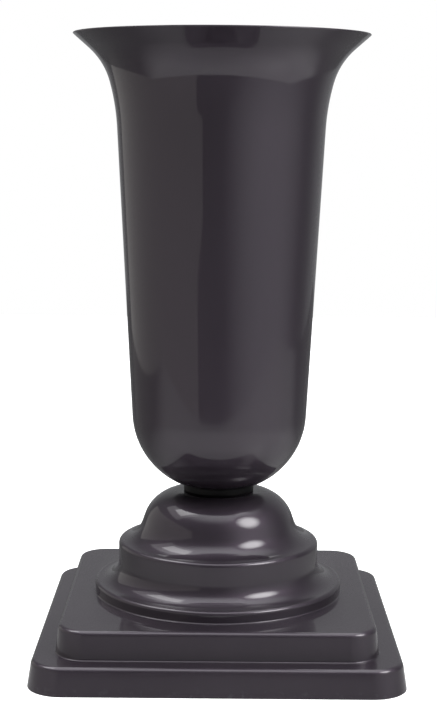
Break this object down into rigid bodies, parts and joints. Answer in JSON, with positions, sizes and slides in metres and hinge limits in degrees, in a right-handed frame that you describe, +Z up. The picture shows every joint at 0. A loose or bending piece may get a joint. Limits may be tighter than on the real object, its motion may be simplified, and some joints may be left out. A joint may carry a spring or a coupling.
{
  "type": "footed vase",
  "caption": "Footed flower vase: a flared tulip body screws into a weighted, stepped square pedestal and holds a lift-out insert with a wire bail.",
  "frame": {"origin": "on the ground, on the axis of the vase, at the middle of the square plinth", "axes": "+Z up along the axis of the vase; X and Y square to the sides of the plinth, -Y towards the viewer of the picture"},
  "size_m": [0.193, 0.193, 0.33],
  "materials": {
    "body_plastic": "glossy moulded anthracite grey with a faint pearl",
    "concrete": "rough cast concrete",
    "cover_plastic": "matt black moulded plastic",
    "screw_steel": "zinc-plated",
    "ring_rubber": "black, satin",
    "insert_plastic": "satin dark grey moulded plastic",
    "bail_steel": "drawn galvanised wire"
  },
  "bodies": {
    "pedestal": {"pedestal_shell": "body_plastic", "ballast_block": "concrete", "base_cover": "cover_plastic", "cover_screws": "screw_steel"},
    "ring": {"neck_ring": "ring_rubber"},
    "vase": {"vase_shell": "body_plastic"},
    "insert": {"flower_insert": "insert_plastic"},
    "handle": {"insert_handle": "bail_steel"}
  },
  "joints": [
    {"name": "vase_unscrew", "type": "hinge", "parent": "pedestal", "child": "ring", "pos_m": [0, 0, 0.08437], "axis": [0, 0, 1], "range_deg": [0, 900]},
    {"name": "vase_rise", "type": "slide", "parent": "ring", "child": "vase", "axis": [0, 0, 1], "range_m": [0, 0.0151]},
    {"name": "insert_lift", "type": "slide", "parent": "vase", "child": "insert", "axis": [0, 0, 1], "range_m": [0, 0.235]},
    {"name": "bail_swing", "type": "hinge", "parent": "insert", "child": "handle", "pos_m": [0, 0, 0.31758], "axis": [1, 0, 0], "range_deg": [0, 180]}
  ],
  "couplings": [
    {"joint": "vase_rise", "follows": "vase_unscrew", "m_per_rad": 0.00095493}
  ]
}
